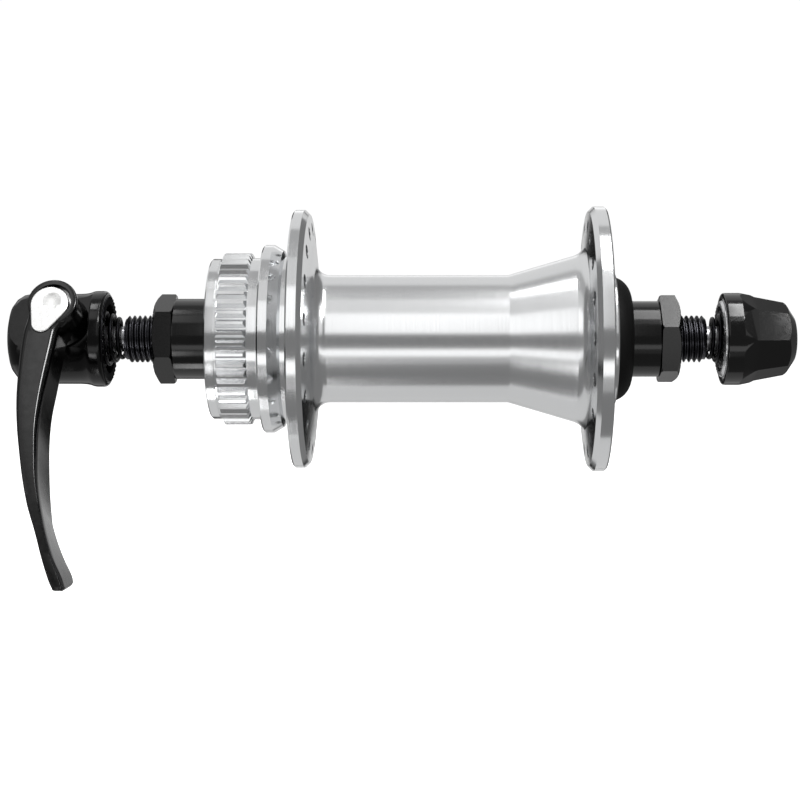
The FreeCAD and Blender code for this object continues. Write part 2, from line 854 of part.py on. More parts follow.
# Serrated steel ring pressed into the face of the cam housing
clamp_ring = new_body("clamp_ring_left", -s.skewer_turn)
turned(clamp_ring, "clamp_ring_turning", [
    (-(s.housing_face + s.clamp_ring_depth), s.clamp_ring_bore / 2),
    (-(s.housing_face + s.clamp_ring_depth), s.clamp_ring_diameter / 2),
    (-s.housing_face, s.clamp_ring_diameter / 2),
    (s.serration_depth - s.housing_face, s.clamp_ring_diameter / 2 - s.serration_depth),
    (s.serration_depth - s.housing_face, s.clamp_ring_bore / 2),
])
serrate(clamp_ring, "clamp_serration", s.serration_depth - s.housing_face,
        s.clamp_ring_bore - s.serration_depth * 2, s.clamp_ring_diameter, CLAMP_SERRATION_COUNT, 1)


# The teardrop plate of the cam shaft and the hole that takes it have one outline
def teardrop(sketch, margin):
    """A large round beside the pivot and a small one towards the blade, with tangents."""
    big = s.plate_diameter / 2 + margin
    small = s.plate_toe_diameter / 2 + margin
    side, drop = s.plate_side, s.plate_drop
    toe_lead, toe_reach = s.plate_toe_lead, s.plate_toe_reach
    lead, reach = toe_lead - side, toe_reach - drop
    span = root(reach * reach + lead * lead)
    across = (big - small) / span
    along = root(1 - across * across)
    down_x, down_z = -lead / span, -reach / span
    side_x, side_z = -1 * down_z, down_x
    right = (down_x * across + side_x * along, down_z * across + side_z * along)
    left = (down_x * across - side_x * along, down_z * across - side_z * along)
    outline(sketch, [
        (right[0] * big - side, right[1] * big - drop),
        (-1 * down_x * big - side, -1 * down_z * big - drop, big),
        (left[0] * big - side, left[1] * big - drop, big),
        (left[0] * small - toe_lead, left[1] * small - toe_reach),
        (down_x * small - toe_lead, down_z * small - toe_reach, small),
        (right[0] * small - toe_lead, right[1] * small - toe_reach, small),
    ])


# Cam shaft: teardrop plate, journal, eccentric neck and far journal along Y
shaft = new_body("cam_shaft", -s.skewer_turn, pivot_x)
plate_face = s.lever_front + s.plate_proud
neck_half = s.eye_thickness / 2 + s.slot_side_play
plate_sketch = new_sketch(shaft, "plate_outline", "XZ_Plane", plate_face - s.plate_thickness)
teardrop(plate_sketch, 0)
pad(shaft, "plate", plate_sketch, s.plate_thickness)
front_journal = new_sketch(shaft, "front_journal_outline", "XZ_Plane", neck_half)
ring(front_journal, 0, 0, s.cam_shaft_diameter)
pad(shaft, "front_journal", front_journal, plate_face - s.plate_thickness - neck_half)
neck = new_sketch(shaft, "neck_outline", "XZ_Plane", -neck_half)
ring(neck, -s.cam_throw, 0, s.cam_diameter)
pad(shaft, "neck", neck, neck_half * 2)
far_end = s.shaft_bore_end - s.cam_play * 4
far_journal = new_sketch(shaft, "far_journal_outline", "XZ_Plane", -far_end)
ring(far_journal, 0, 0, s.cam_shaft_diameter)
pad(shaft, "far_journal", far_journal, far_end - neck_half)
turned(shaft, "dimple", [
    (0, -(plate_face + s.plate_proud)),
    (s.dimple_diameter / 2, -(plate_face + s.plate_proud)),
    (s.dimple_diameter / 2, -plate_face),
    (s.dimple_floor_diameter / 2, s.dimple_depth - plate_face),
    (0, s.dimple_depth - plate_face),
], cut=True, plane="XY_Plane", axis="V_Axis")


# Lever: a flared head round the cam shaft and a blade lofted through its stations
def make_lever():
    body = new_body("lever", -s.skewer_turn, pivot_x)
    sections = []
    for number in range(1, len(LEVER_STATIONS) + 1):
        reach, inner, outer, width = [
            getattr(s, f"{word}_{number}") for word in STATION_WORDS
        ]
        section = new_sketch(body, f"station_{number}", "XY_Plane", -reach)
        front = s.blade_set_back - s.lever_front
        back = width - s.lever_front
        corner = s.blade_round
        outline(section, [
            (inner - corner, front),
            (inner, front + corner, corner),
            (inner, back - corner),
            (inner - corner, back, corner),
            (outer + corner, back),
            (outer, back - corner, corner),
            (outer, front + corner),
            (outer + corner, front, corner),
        ])
        sections.append(section)
    blade = body.newObject("PartDesign::AdditiveLoft", "blade")
    blade.Profile = sections[0]
    blade.Sections = sections[1:]
    blade.Ruled = False
    body.Tip = blade
    # The blade's end is level when the lever hangs as it does on the hub
    slant = new_sketch(body, "slant_outline", "YZ_Plane", s.lever_inner_10 + CUT_OVER)
    start = -1 * s.lever_front - CUT_OVER
    depth = s.lever_width_10 + CUT_OVER * 3
    rise = depth * sine(s.skewer_turn) / cosine(s.skewer_turn)
    outline(slant, [
        (start, -s.lever_reach_10), (start, -s.lever_reach_10 - CUT_OVER),
        (start + depth, -s.lever_reach_10 - CUT_OVER), (start + depth, rise - s.lever_reach_10),
    ])
    pocket(body, "slant_cut", slant, s.lever_inner_10 - s.lever_outer_7 + CUT_OVER * 2)
    face_r = s.head_diameter / 2
    base_r = s.head_base_diameter / 2
    base_y = -(s.housing_flat + s.lever_gap)
    turned(body, "head", [
        (0, -s.lever_front),
        (face_r, -s.lever_front),
        (base_r, base_y, -s.head_flare),
        (0, base_y),
    ], plane="XY_Plane", axis="V_Axis")
    bore = new_sketch(body, "shaft_hole_outline", "XZ_Plane", s.lever_front + CUT_OVER)
    ring(bore, 0, 0, s.cam_shaft_diameter + 2 * s.plate_fit)
    pocket(body, "shaft_hole", bore, s.lever_front)
    seat = new_sketch(body, "plate_seat_outline", "XZ_Plane", s.lever_front + CUT_OVER)
    teardrop(seat, s.plate_fit)
    pocket(body, "plate_seat", seat, s.plate_thickness - s.plate_proud + CUT_OVER)
    margin = new_sketch(body, "plate_margin_outline", "XZ_Plane", s.lever_front + CUT_OVER)
    teardrop(margin, s.plate_margin)
    pocket(body, "plate_margin_cut", margin, s.plate_margin_depth + CUT_OVER)
    mouth = new_sketch(body, "hole_mouth_outline", "XZ_Plane", s.lever_front + CUT_OVER)
    ring(mouth, 0, 0, s.shaft_hole_mouth)
    pocket(body, "hole_mouth_cut", mouth, s.plate_margin_depth + CUT_OVER)
    return body


make_lever()


# Conical springs: one wire, wound from biarcs of a quarter turn each
def biarc(start, leave, finish, arrive):
    """Two arcs that leave start along one unit vector and reach finish along another."""
    span = finish - start
    both = leave + arrive
    dot = span.dot(both)
    spread = 2 * (1 - leave.dot(arrive))
    reach = (math.sqrt(dot * dot + spread * span.dot(span)) - dot) / spread
    middle = (start + finish + (leave - arrive) * reach) * 0.5
    return [arc(start, leave, middle), arc(finish, arrive * -1, middle, True)]


def arc(start, leave, finish, back=False):
    """The arc from start to finish that leaves start along a unit vector."""
    chord = finish - start
    along = chord.normalize()
    length = (finish - start).Length
    lean = leave - along * leave.dot(along)
    half = math.acos(max(-1, min(1, leave.dot(along)))) / 2
    crown = (start + finish) * 0.5 + lean.normalize() * (length / 2 * math.tan(half))
    ends = (finish, crown, start) if back else (start, crown, finish)
    return Part.Arc(*ends).toShape()


def make_spring(name, seat, tip, start_turn):
    """A wire from the wide coil at the seat to the small coil at the tip."""
    turn = math.radians(float(start_turn))
    wire = float(s.spring_wire)
    small = (float(s.spring_small_diameter) - wire) / 2
    way = 1 if tip > seat else -1
    length = abs(tip - seat) - wire
    turns = length / float(s.spring_pitch)
    wide = small + float(s.spring_step) * turns
    quarters = math.ceil(turns * 4)

    def place(share):
        angle = 2 * math.pi * turns * share + turn
        radius = wide + (small - wide) * share
        x = seat + way * (wire / 2 + length * share)
        return V(x, radius * math.cos(angle), radius * math.sin(angle))

    def heading(share):
        angle = 2 * math.pi * turns * share + turn
        radius = wide + (small - wide) * share
        spin = 2 * math.pi * turns
        inward = small - wide
        return V(
            way * length,
            inward * math.cos(angle) - radius * spin * math.sin(angle),
            inward * math.sin(angle) + radius * spin * math.cos(angle),
        ).normalize()

    edges = []
    for step in range(quarters):
        a, b = step / quarters, (step + 1) / quarters
        edges += biarc(place(a), heading(a), place(b), heading(b))
    path = Part.Wire(edges)
    section = Part.Wire([Part.Circle(place(0), heading(0), wire / 2).toShape()])
    solid = path.makePipeShell([section], True, False)
    spring = DOC.addObject("Part::Feature", name)
    spring.Label = name
    spring.Shape = solid
    spring.Placement = FreeCAD.Placement(V(0, 0, 0), FreeCAD.Rotation(V(1, 0, 0), 0))

    samples = [place(step / 400) for step in range(401)]
    near = int(400 / turns * 0.6)
    least = min(
        (samples[i] - samples[j]).Length
        for i in range(401) for j in range(i + near, 401)
    ) - wire
    swept = math.pi * wire ** 2 / 4 * path.Length
    print(name, "turns", round(turns, 2), "least gap", round(least, 3), "wide",
          round(2 * wide + wire, 2), "volume share", round(solid.Volume / swept, 4))
    return spring


spring_left_seat = float(-(s.housing_face + s.spring_recess_depth) + s.spring_seat_play)
spring_right_seat = float(s.nut_face + s.nut_recess_depth - s.spring_seat_play)
make_spring("spring_left", spring_left_seat, float(axle_left - s.spring_seat_play),
            s.spring_turn_left)
make_spring("spring_right", spring_right_seat, float(axle_right + s.spring_seat_play),
            s.spring_turn_right)


# Adjusting nut: serrated steel body, nylon insert that grips the rod, moulded cover
nut_turn_r = rod_r + s.nut_thread_play
nut_end = s.nut_face + s.nut_length
ring_r = s.nut_ring_diameter / 2
barrel_r = s.nut_barrel_diameter / 2
nut = new_body("nut_body")
turned(nut, "nut_turning", [
    (s.nut_face, s.nut_ring_bore / 2),
    (s.nut_face, ring_r - s.nut_ring_bevel),
    (s.nut_face + s.nut_ring_bevel, ring_r),
    (s.nut_face + s.nut_ring_width + s.nut_recess_depth, ring_r),
    (s.nut_face + s.nut_ring_width + s.nut_recess_depth, barrel_r),
    (nut_end, barrel_r),
    (nut_end, nut_turn_r),
    (s.nut_face + s.nut_recess_depth, nut_turn_r),
    (s.nut_face + s.nut_recess_depth, s.nut_ring_bore / 2),
])
serrate(nut, "nut_serration", s.nut_face, s.nut_ring_bore - 2 * s.serration_depth,
        s.nut_ring_diameter, CLAMP_SERRATION_COUNT, -1)

insert = new_body("nut_insert")
turned(insert, "insert_turning", [
    (nut_end, nut_turn_r),
    (nut_end, s.insert_diameter / 2),
    (nut_end + s.insert_length, s.insert_diameter / 2),
    (nut_end + s.insert_length, nut_turn_r),
])


def make_cover():
    body = new_body("nut_cover", s.cover_turn)
    r = s.cover_diameter / 2
    rim = s.nut_face + s.cover_set_back
    land = rim + s.cover_land
    shoulder_r = s.cover_shoulder_diameter / 2
    top_r = s.cover_top_diameter / 2
    ring_end = s.nut_face + s.nut_ring_width + s.nut_recess_depth
    hollow_end = s.cover_end - s.cover_wall
    fit = s.cover_fit
    turned(body, "cover_turning", [
        (rim, ring_r + fit),
        (rim, r - s.cover_rim),
        (rim + s.cover_rim, r, -s.cover_rim),
        (land, r),
        (s.cover_shoulder, shoulder_r),
        (s.cover_end, top_r),
        (s.cover_end, 0),
        (hollow_end, 0),
        (hollow_end, s.insert_diameter / 2 + fit),
        (nut_end, s.insert_diameter / 2 + fit),
        (nut_end, barrel_r + fit),
        (ring_end, barrel_r + fit),
        (ring_end, ring_r + fit),
    ])
    # Each flute is a pair of flats: a short steep one and a long one to the end
    start_x = land - s.flute_lead
    flute = new_sketch(body, "flute_outline", "XZ_Plane", -s.cover_diameter)
    outline(flute, [
        (start_x, r),
        (s.flute_kink, r - s.flute_kink_depth),
        (s.cover_end, r - s.flute_end_depth),
        (s.cover_end + CUT_OVER, r - s.flute_end_depth),
        (s.cover_end + CUT_OVER, r * 2),
        (start_x, r * 2),
    ])
    cut = pocket(body, "flute", flute, s.cover_diameter * 2, True)
    around(body, "flutes", [cut], FLUTE_COUNT)
    return body


make_cover()

# Checks before anything is written
DOC.recompute()
NODES = [
    "hub_shell", "axle", "cone_left", "cone_right", "bearing_cup_left",
    "bearing_cup_right", "balls_left", "balls_right", "dust_cap_left",
    "dust_cap_right", "seal_left", "seal_right", "spacer_left", "spacer_right",
    "locknut_left", "locknut_right", "skewer_rod", "cam_housing", "clamp_ring_left",
    "cam_shaft", "lever", "spring_left", "spring_right", "nut_body", "nut_insert",
    "nut_cover",
]
for thing in DOC.Objects:
    if "Invalid" in thing.State or "Error" in thing.State:
        raise RuntimeError(f"{thing.Label}: {thing.State}")
os.makedirs("parts", exist_ok=True)
for node in NODES:
    piece = DOC.getObject(node)
    if piece.Shape.isNull() or not piece.Shape.isValid():
        raise RuntimeError(f"{node} has no valid shape")
for node in NODES:
    piece = DOC.getObject(node)
    box = piece.Shape.BoundBox
    print(node, "solids", len(piece.Shape.Solids), "volume", round(piece.Shape.Volume, 1),
          "x", round(box.XMin, 2), round(box.XMax, 2), "z", round(box.ZMin, 2),
          round(box.ZMax, 2))
    piece.Shape.exportStep(f"parts/{node}.step")
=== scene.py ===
import math

import bmesh
import bpy
from mathutils import Matrix


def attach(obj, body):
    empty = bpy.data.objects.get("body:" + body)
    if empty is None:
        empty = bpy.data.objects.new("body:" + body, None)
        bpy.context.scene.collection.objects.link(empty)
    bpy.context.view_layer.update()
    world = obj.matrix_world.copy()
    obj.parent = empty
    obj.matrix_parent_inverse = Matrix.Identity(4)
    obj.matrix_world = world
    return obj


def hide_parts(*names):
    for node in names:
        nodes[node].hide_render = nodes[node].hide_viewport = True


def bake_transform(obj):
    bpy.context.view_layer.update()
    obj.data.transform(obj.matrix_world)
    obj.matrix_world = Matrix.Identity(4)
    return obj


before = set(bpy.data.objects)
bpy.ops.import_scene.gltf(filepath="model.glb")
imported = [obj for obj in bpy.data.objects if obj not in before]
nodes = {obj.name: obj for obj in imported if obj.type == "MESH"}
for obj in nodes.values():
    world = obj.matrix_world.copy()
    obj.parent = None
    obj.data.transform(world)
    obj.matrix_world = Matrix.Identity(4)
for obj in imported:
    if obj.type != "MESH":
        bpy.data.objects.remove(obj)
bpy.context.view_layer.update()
MM = 0.001


# Camera: level with the axle and square to it, a third of a metre away, as the
# photograph was taken. The view is shifted because the lever hangs below the axle.
PHOTO_PIXELS = 800
PIXELS_PER_MM = 5.2
CAMERA_DISTANCE = 340
CAMERA_X = 5.7
AXLE_PIXEL = (447, 338.9)

camera_data = bpy.data.cameras.new("camera")
camera_data.sensor_width = 36
camera_data.lens = 36 * PIXELS_PER_MM * CAMERA_DISTANCE / PHOTO_PIXELS
camera_data.shift_x = (PHOTO_PIXELS / 2 - AXLE_PIXEL[0]) / PHOTO_PIXELS
camera_data.shift_y = (AXLE_PIXEL[1] - PHOTO_PIXELS / 2) / PHOTO_PIXELS
camera_data.clip_start = 0.01
camera = bpy.data.objects.new("camera", camera_data)
camera.location = (CAMERA_X * MM, -CAMERA_DISTANCE * MM, 0)
camera.rotation_euler = (math.radians(90), 0, 0)
bpy.context.scene.collection.objects.link(camera)
bpy.context.scene.camera = camera


# Studio: a grey room with long soft boxes that lie along the axle, so that turned
# metal shows bands of light. The floor is a plain pale sheet under the lever.
def linear(code):
    """The linear colour of an sRGB hex code."""
    shares = [int(code[i:i + 2], 16) / 255 for i in (1, 3, 5)]
    return [c / 12.92 if c <= 0.04045 else ((c + 0.055) / 1.055) ** 2.4 for c in shares] + [1]


def add_node(tree, kind, inputs=None, **settings):
    """Add a shader node with its settings; an input is a value or a socket to link."""
    node = tree.nodes.new(kind)
    for name, value in settings.items():
        setattr(node, name, value)
    for name, value in (inputs or {}).items():
        if isinstance(value, bpy.types.NodeSocket):
            tree.links.new(value, node.inputs[name])
        else:
            node.inputs[name].default_value = value
    return node


def soft_box(name, low, high, brightness, left=-1.2, right=1.2):
    """A light from one elevation to another and from left to right, in metres.

    Elevation 0 is in front of the hub and 90 overhead.
    """
    middle = math.radians((low + high) / 2)
    width = 2 * BOX_DISTANCE * math.tan(math.radians((high - low) / 2))
    data = bpy.data.lights.new(name, "AREA")
    data.shape = "RECTANGLE"
    data.size = right - left
    data.size_y = width
    data.energy = brightness * math.pi * data.size * width
    light = bpy.data.objects.new(name, data)
    light.matrix_world = Matrix((
        (1, 0, 0, (left + right) / 2),
        (0, math.sin(middle), -math.cos(middle), -BOX_DISTANCE * math.cos(middle)),
        (0, math.cos(middle), math.sin(middle), BOX_DISTANCE * math.sin(middle)),
        (0, 0, 0, 1),
    ))
    light.visible_camera = False
    bpy.context.scene.collection.objects.link(light)


BOX_DISTANCE = 0.9
soft_box("key_box", 9, 46, 1.1, -0.15, 0.11)
soft_box("key_box_left", 9, 46, 1.1, -1.2, -0.36)
soft_box("key_box_right", 9, 46, 0.6, 0.34, 1.2)
soft_box("upper_box", 46, 75, 0.46)
soft_box("top_box", 75, 112, 0.22, right=0.3)
soft_box("back_box", 112, 160, 0.55, right=0.3)
soft_box("low_strip", -31, -18, 1.1)
soft_box("low_tail", -45, -31, 0.2)
soft_box("under_box", -150, -92, 0.42, right=0.3)
# Small lamps for the black pieces at the ends
soft_box("right_lamp", 62, 97, 4.5, 0.115, 0.18)
soft_box("cover_lamp", 58, 98, 12, 0.195, 0.24)
soft_box("edge_lamp", 46, 57, 24, 0.24, 0.6)
soft_box("left_lamp", 76, 92, 7, -0.3, -0.2)
soft_box("left_panel", 48.5, 70, 1, -0.32, -0.18)
soft_box("left_low_lamp", -50, -36, 5, -0.34, -0.19)
soft_box("left_under_lamp", -94, -76, 5, -0.19, -0.14)

# The room is grey, and behind the hub hangs a pale sheet that the flanges reflect. What
# is beside the sheet is dark, which keeps the sides of the lever and housing black.
ROOM_GREY = "#7c7c7c"
BACK_SHEET = "#d8d8d8"
BACK_SIDES = "#141414"
WHITE = 1.02
world = bpy.data.worlds.new("room")
world.use_nodes = True
bpy.context.scene.world = world
room = world.node_tree
room.nodes.clear()
path = add_node(room, "ShaderNodeLightPath")
toward = add_node(room, "ShaderNodeTexCoord").outputs["Generated"]
toward = add_node(room, "ShaderNodeSeparateXYZ", {0: toward}).outputs


def rising(tree, value, start, end):
    """A share that goes from 0 to 1 while the value goes from start to end."""
    return add_node(tree, "ShaderNodeMapRange", {
        "Value": value, "From Min": start, "From Max": end,
    }).outputs[0]


def mixed_colour(share, first, second):
    """The first colour where the share is 0, and the second where it is 1."""
    return add_node(room, "ShaderNodeMix", {
        0: share, 6: first, 7: second,
    }, data_type="RGBA").outputs[2]


# Where the sheet ends, as parts of a direction: each pair is the start and the end of
# the soft edge
SHEET_LEFT = (-0.1, -0.13)
SHEET_RIGHT = (0.12, 0.16)
SHEET_MIDDLE = 0.08
SHEET_HEIGHT = (0.08, 0.11)
SHEET_FACE = (0.85, 0.93)
level = add_node(room, "ShaderNodeMath", {0: toward["Z"], 1: SHEET_MIDDLE}, operation="SUBTRACT")
level = add_node(room, "ShaderNodeMath", {0: level.outputs[0]}, operation="ABSOLUTE")
past_left = rising(room, toward["X"], *SHEET_LEFT)
past_right = rising(room, toward["X"], *SHEET_RIGHT)
past_height = rising(room, level.outputs[0], *SHEET_HEIGHT)
beside = add_node(room, "ShaderNodeMath", {
    0: past_right, 1: past_height, 2: past_left,
}, operation="MULTIPLY_ADD", use_clamp=True).outputs[0]
back = mixed_colour(beside, linear(BACK_SHEET), linear(BACK_SIDES))
behind = rising(room, toward["Y"], *SHEET_FACE)
walls = mixed_colour(behind, linear(ROOM_GREY), back)
shade = add_node(room, "ShaderNodeBackground", {"Color": walls, "Strength": 1})
sheet = add_node(room, "ShaderNodeBackground", {"Color": linear("#ffffff"), "Strength": WHITE})
mixed = add_node(room, "ShaderNodeMixShader", {0: path.outputs["Is Camera Ray"]})
room.links.new(shade.outputs[0], mixed.inputs[1])
room.links.new(sheet.outputs[0], mixed.inputs[2])
add_node(room, "ShaderNodeOutputWorld", {"Surface": mixed.outputs[0]})

bpy.context.scene.view_settings.view_transform = "Standard"
bpy.context.scene.cycles.use_denoising = True


def surface(name, colour, numbers):
    """A material with its colour and the numbers that are the same all over."""
    material = bpy.data.materials.new(name)
    material.use_nodes = True
    shader = material.node_tree.nodes["Principled BSDF"]
    shader.inputs["Base Color"].default_value = linear(colour)
    for key, value in numbers.items():
        shader.inputs[key].default_value = value
    return material


FLOOR_HEIGHT = -47.5
floor_mesh = bmesh.new()
bmesh.ops.create_grid(floor_mesh, x_segments=1, y_segments=1, size=3)
bmesh.ops.translate(floor_mesh, verts=floor_mesh.verts, vec=(0, 0, FLOOR_HEIGHT * MM))
floor_data = bpy.data.meshes.new("floor")
floor_mesh.to_mesh(floor_data)
floor = bpy.data.objects.new("floor", floor_data)
floor.visible_glossy = floor.visible_diffuse = floor.visible_shadow = False
bpy.context.scene.collection.objects.link(floor)
# White paper that stays evenly bright under the hub
white_paper = surface("white_paper", "#e8e8e8", {
    "Roughness": 0.9, "Emission Color": linear("#ffffff"), "Emission Strength": 1,
})
floor_data.materials.append(white_paper)


# Hub shell: one forging of aluminium, turned all over. The flanges, the splined boss
# and the stop ring are bright, and the spool between the flanges is left satin with
# the fine rings of the tool.
def grain(material, size, depth, roughness, lathe=False, detail=3):
    """Fine relief and uneven gloss: features of a size in mm and their depth in mm.

    Where lathe is set they are rings round the axle line, as a tool leaves them. The
    node that sets the roughness is returned.
    """
    tree = material.node_tree
    shader = tree.nodes["Principled BSDF"]
    where = add_node(tree, "ShaderNodeTexCoord").outputs["Object"]
    if lathe:
        along = add_node(tree, "ShaderNodeSeparateXYZ", {0: where}).outputs["X"]
        spread = add_node(
            tree, "ShaderNodeVectorMath", {0: where, 1: (0, 1, 1)}, operation="MULTIPLY"
        )
        reach = add_node(
            tree, "ShaderNodeVectorMath", {0: spread.outputs[0]}, operation="LENGTH"
        )
        where = add_node(
            tree, "ShaderNodeCombineXYZ", {"X": along, "Y": reach.outputs["Value"]}
        ).outputs[0]
    noise = add_node(tree, "ShaderNodeTexNoise", {
        "Vector": where, "Scale": 1 / (size * MM), "Detail": detail,
    }).outputs["Fac"]
    gloss = add_node(tree, "ShaderNodeMapRange", {
        "Value": noise, "From Min": 0.3, "From Max": 0.7,
        "To Min": roughness[0], "To Max": roughness[1],
    })
    tree.links.new(gloss.outputs[0], shader.inputs["Roughness"])
    relief = add_node(tree, "ShaderNodeBump", {"Height": noise, "Distance": depth * MM})
    tree.links.new(relief.outputs[0], shader.inputs["Normal"])
    return gloss


def dress(node, material):
    """Give a CAD node its material."""
    thing = nodes[node]
    thing.data.materials.clear()
    thing.data.materials.append(material)
    return thing


# Bright metal with sharp bands of light, and on the spool softer ones
SATIN_FROM, SATIN_TO = -20.2, 32.0
SATIN_FADE = 0.5
SATIN_ROUGHNESS = 0.06
turned_aluminium = surface("turned_aluminium", "#e9eaeb", {"Metallic": 1})
gloss = grain(turned_aluminium, 0.35, 0.0004, (0.12, 0.17), lathe=True)
tree = turned_aluminium.node_tree
where = add_node(tree, "ShaderNodeTexCoord").outputs["Object"]
along = add_node(tree, "ShaderNodeSeparateXYZ", {0: where}).outputs["X"]
started = rising(tree, along, SATIN_FROM * MM, (SATIN_FROM + SATIN_FADE) * MM)
ended = rising(tree, along, SATIN_TO * MM, (SATIN_TO - SATIN_FADE) * MM)
satin = add_node(tree, "ShaderNodeMath", {0: started, 1: ended}, operation="MULTIPLY")
dulled = add_node(tree, "ShaderNodeMath", {
    0: satin.outputs[0], 1: SATIN_ROUGHNESS, 2: gloss.outputs[0],
}, operation="MULTIPLY_ADD")
tree.links.new(dulled.outputs[0], tree.nodes["Principled BSDF"].inputs["Roughness"])
dress("hub_shell", turned_aluminium)


# Bearings: hardened cones and cups with ground races, ten polished balls a side,
# pressed dust caps, a rubber seal ring and a rubber dome. The cups are pressed into
# the shell, and the cones are threaded on the axle.

# Grey steel with the fine rings of grinding
ground_steel = surface("ground_steel", "#b9b9bb", {"Metallic": 1})
grain(ground_steel, 0.3, 0.0015, (0.18, 0.3), lathe=True)
for node in ("cone_left", "cone_right", "bearing_cup_left", "bearing_cup_right"):
    dress(node, ground_steel)
# Steel that mirrors the room
polished_ball = surface("polished_ball", "#dcdcde", {"Metallic": 1})
grain(polished_ball, 1.5, 0.0002, (0.04, 0.07))
for node in ("balls_left", "balls_right"):
    dress(node, polished_ball)
# Plain sheet with a dull shine
pressed_steel = surface("pressed_steel", "#a8a8aa", {"Metallic": 1})
grain(pressed_steel, 0.4, 0.002, (0.25, 0.4), lathe=True)
for node in ("dust_cap_left", "dust_cap_right"):
    dress(node, pressed_steel)
# Nearly black, and without any sharp reflection
matt_rubber = surface("matt_rubber", "#050505", {"Specular IOR Level": 0.2})
grain(matt_rubber, 0.25, 0.008, (0.5, 0.68))
for node in ("seal_left", "seal_right"):
    dress(node, matt_rubber)


# Axle: a hollow steel bar with a rolled M9 thread and beveled ends, dark from zinc.
# The cones and locknuts screw on it, and the skewer passes through.
def finished(name, mesh, material, body, slot, *replaced, place=Matrix(), sharp=35):
    """Make a mesh modelled in mm into a smooth-shaded piece that rides a CAD body."""
    bmesh.ops.remove_doubles(mesh, verts=mesh.verts, dist=1e-4)
    bmesh.ops.recalc_face_normals(mesh, faces=mesh.faces)
    bmesh.ops.transform(mesh, matrix=Matrix.Scale(MM, 4) @ place, verts=mesh.verts)
    data = bpy.data.meshes.new(name)
    mesh.to_mesh(data)
    mesh.free()
    data.shade_smooth()
    data.set_sharp_from_angle(angle=math.radians(sharp))
    data.materials.append(material)
    thing = bpy.data.objects.new(name, data)
    bpy.context.scene.collection.objects.link(thing)
    even = thing.modifiers.new("even_shading", "WEIGHTED_NORMAL")
    even.keep_sharp = True
    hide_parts(*replaced)
    if body:
        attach(thing, body)
    return thing


AXLE_LEFT, AXLE_RIGHT = -55.8, 55.2
AXLE_BEVEL = 0.6
AXLE_BORE = 2.8
THREAD_CREST, THREAD_ROOT = 4.5, 3.92
THREAD_PITCH = 1
THREAD_STEPS = 48


def threaded_bar():
    """One turn of the thread's profile, repeated along the bar and cut off at its ends."""
    mesh = bmesh.new()
    profile = [(0, THREAD_ROOT), (0.1, THREAD_ROOT), (0.43, THREAD_CREST),
               (0.57, THREAD_CREST), (0.9, THREAD_ROOT), (THREAD_PITCH, THREAD_ROOT)]
    start = AXLE_LEFT - 2 * THREAD_PITCH
    turns = math.ceil((AXLE_RIGHT - AXLE_LEFT) / THREAD_PITCH) + 3
    line = [mesh.verts.new((start + x, 0, radius)) for x, radius in profile]
    for first, second in zip(line, line[1:]):
        mesh.edges.new((first, second))
    bmesh.ops.spin(
        mesh, geom=mesh.verts[:] + mesh.edges[:], axis=(1, 0, 0), cent=(0, 0, 0),
        dvec=(THREAD_PITCH / THREAD_STEPS, 0, 0), angle=2 * math.pi,
        steps=THREAD_STEPS, use_merge=False,
    )
    one_turn = mesh.verts[:] + mesh.edges[:] + mesh.faces[:]
    for number in range(1, turns):
        copied = bmesh.ops.duplicate(mesh, geom=one_turn)["geom"]
        verts = [item for item in copied if isinstance(item, bmesh.types.BMVert)]
        bmesh.ops.translate(mesh, verts=verts, vec=(number * THREAD_PITCH, 0, 0))
    bmesh.ops.remove_doubles(mesh, verts=mesh.verts, dist=1e-3)
    for end, way in ((AXLE_LEFT, -1), (AXLE_RIGHT, 1)):
        bmesh.ops.bisect_plane(
            mesh, geom=mesh.verts[:] + mesh.edges[:] + mesh.faces[:], dist=1e-4,
            plane_co=(end, 0, 0), plane_no=(way, 0, 0), clear_outer=True,
        )
    for vert in mesh.verts:
        radius = math.hypot(vert.co.y, vert.co.z)
        inside = min(vert.co.x - AXLE_LEFT, AXLE_RIGHT - vert.co.x)
        most = THREAD_CREST - AXLE_BEVEL + inside
        if radius > most:
            vert.co.y *= most / radius
            vert.co.z *= most / radius
    rim = [edge for edge in mesh.edges if edge.is_boundary]
    grown = bmesh.ops.extrude_edge_only(mesh, edges=rim)["geom"]
    for vert in (item for item in grown if isinstance(item, bmesh.types.BMVert)):
        radius = math.hypot(vert.co.y, vert.co.z)
        vert.co.y *= AXLE_BORE / radius
        vert.co.z *= AXLE_BORE / radius
    bore = [item for item in grown if isinstance(item, bmesh.types.BMEdge) and item.is_boundary]
    bmesh.ops.bridge_loops(mesh, edges=bore)
    return mesh


# Dark metal whose thread shows fine lines of light
dark_zinc = surface("dark_zinc", "#3e3e42", {"Metallic": 1})
grain(dark_zinc, 0.2, 0.002, (0.22, 0.36))
finished("threaded_axle", threaded_bar(), dark_zinc, "axle_set", "axle_steel", "axle")


